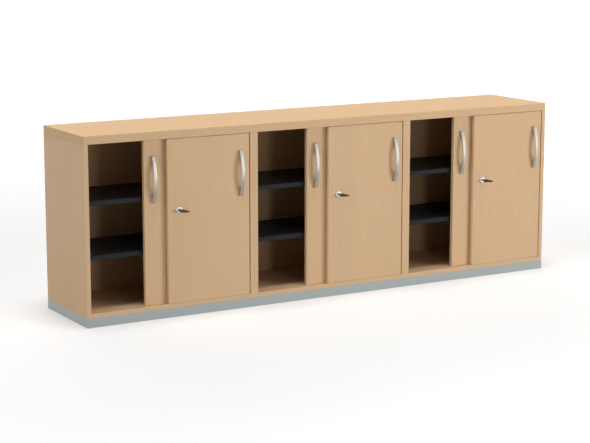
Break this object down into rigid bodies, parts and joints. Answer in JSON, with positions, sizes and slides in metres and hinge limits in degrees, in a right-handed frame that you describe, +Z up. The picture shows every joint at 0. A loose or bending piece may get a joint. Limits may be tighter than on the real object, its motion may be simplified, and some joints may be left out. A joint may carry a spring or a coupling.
{
  "type": "sliding door cabinet",
  "caption": "Low wood-look office sideboard with pairs of sliding doors, silver bow handles, key locks, black steel shelves and a grey plinth",
  "frame": {"origin": "on the floor, under the middle of the whole depth, handles and keys included", "axes": "X along the width, -Y out of the front, +Z up"},
  "size_m": [2.4, 0.4845, 0.81],
  "materials": {
    "beech_board": "satin laminate with fine straight grain",
    "plinth_board": "satin silver-grey",
    "black_steel": "fine black powder coat",
    "silver_handle": "matt silver",
    "chrome_lock": "polished nickel",
    "zinc_steel": "bright zinc",
    "brown_plastic": "plain moulded",
    "dark_plastic": "dark brown moulded",
    "dowel_wood": "plain beech"
  },
  "bodies": {
    "cabinet": {"top_panel": "beech_board", "left_module_left_side": "beech_board", "left_module_right_side": "beech_board", "left_bottom_panel": "beech_board", "left_back_panel": "beech_board", "left_lower_shelf": "black_steel", "left_upper_shelf": "black_steel", "middle_module_left_side": "beech_board", "middle_module_right_side": "beech_board", "middle_bottom_panel": "beech_board", "middle_back_panel": "beech_board", "middle_lower_shelf": "black_steel", "middle_upper_shelf": "black_steel", "right_module_left_side": "beech_board", "right_module_right_side": "beech_board", "right_bottom_panel": "beech_board", "right_back_panel": "beech_board", "right_lower_shelf": "black_steel", "right_upper_shelf": "black_steel", "shelf_pins": "zinc_steel", "lower_tracks": "brown_plastic", "upper_tracks": "brown_plastic", "plinth_front_rail": "plinth_board", "plinth_rear_rail": "plinth_board", "plinth_end_rails": "plinth_board", "plinth_cross_rails": "plinth_board", "plinth_screws": "zinc_steel", "carcass_dowels": "dowel_wood", "connecting_bolts": "zinc_steel", "door_buffers": "brown_plastic"},
    "left_inner_door": {"left_inner_door_panel": "beech_board", "left_inner_handle": "silver_handle", "left_inner_glides": "brown_plastic"},
    "left_outer_door": {"left_outer_door_panel": "beech_board", "left_outer_handle": "silver_handle", "left_outer_glides": "brown_plastic", "left_lock_housing": "chrome_lock"},
    "left_key": {"left_lock_core": "chrome_lock", "left_key_blade": "zinc_steel"},
    "left_key_fold": {"left_key_bow": "dark_plastic"},
    "middle_inner_door": {"middle_inner_door_panel": "beech_board", "middle_inner_handle": "silver_handle", "middle_inner_glides": "brown_plastic"},
    "middle_outer_door": {"middle_outer_door_panel": "beech_board", "middle_outer_handle": "silver_handle", "middle_outer_glides": "brown_plastic", "middle_lock_housing": "chrome_lock"},
    "middle_key": {"middle_lock_core": "chrome_lock", "middle_key_blade": "zinc_steel"},
    "middle_key_fold": {"middle_key_bow": "dark_plastic"},
    "right_inner_door": {"right_inner_door_panel": "beech_board", "right_inner_handle": "silver_handle", "right_inner_glides": "brown_plastic"},
    "right_outer_door": {"right_outer_door_panel": "beech_board", "right_outer_handle": "silver_handle", "right_outer_glides": "brown_plastic", "right_lock_housing": "chrome_lock"},
    "right_key": {"right_lock_core": "chrome_lock", "right_key_blade": "zinc_steel"},
    "right_key_fold": {"right_key_bow": "dark_plastic"}
  },
  "joints": [
    {"name": "left_inner_door_slide", "type": "slide", "parent": "cabinet", "child": "left_inner_door", "axis": [1, 0, 0], "range_m": [-0.259, 0.045]},
    {"name": "left_outer_door_slide", "type": "slide", "parent": "cabinet", "child": "left_outer_door", "axis": [1, 0, 0], "range_m": [-0.045, 0]},
    {"name": "left_key_turn", "type": "hinge", "parent": "left_outer_door", "child": "left_key", "pos_m": [-0.764, -0.188, 0.464], "axis": [0, 1, 0], "range_deg": [0, 90]},
    {"name": "left_key_bow_fold", "type": "hinge", "parent": "left_key", "child": "left_key_fold", "pos_m": [-0.764, -0.209, 0.464], "axis": [0, 0, 1], "range_deg": [-120, 60]},
    {"name": "middle_inner_door_slide", "type": "slide", "parent": "cabinet", "child": "middle_inner_door", "axis": [1, 0, 0], "range_m": [-0.259, 0.045]},
    {"name": "middle_outer_door_slide", "type": "slide", "parent": "cabinet", "child": "middle_outer_door", "axis": [1, 0, 0], "range_m": [-0.045, 0]},
    {"name": "middle_key_turn", "type": "hinge", "parent": "middle_outer_door", "child": "middle_key", "pos_m": [0.036, -0.188, 0.464], "axis": [0, 1, 0], "range_deg": [0, 90]},
    {"name": "middle_key_bow_fold", "type": "hinge", "parent": "middle_key", "child": "middle_key_fold", "pos_m": [0.036, -0.209, 0.464], "axis": [0, 0, 1], "range_deg": [-120, 60]},
    {"name": "right_inner_door_slide", "type": "slide", "parent": "cabinet", "child": "right_inner_door", "axis": [1, 0, 0], "range_m": [-0.259, 0.045]},
    {"name": "right_outer_door_slide", "type": "slide", "parent": "cabinet", "child": "right_outer_door", "axis": [1, 0, 0], "range_m": [-0.045, 0]},
    {"name": "right_key_turn", "type": "hinge", "parent": "right_outer_door", "child": "right_key", "pos_m": [0.836, -0.188, 0.464], "axis": [0, 1, 0], "range_deg": [0, 90]},
    {"name": "right_key_bow_fold", "type": "hinge", "parent": "right_key", "child": "right_key_fold", "pos_m": [0.836, -0.209, 0.464], "axis": [0, 0, 1], "range_deg": [-120, 60]}
  ]
}
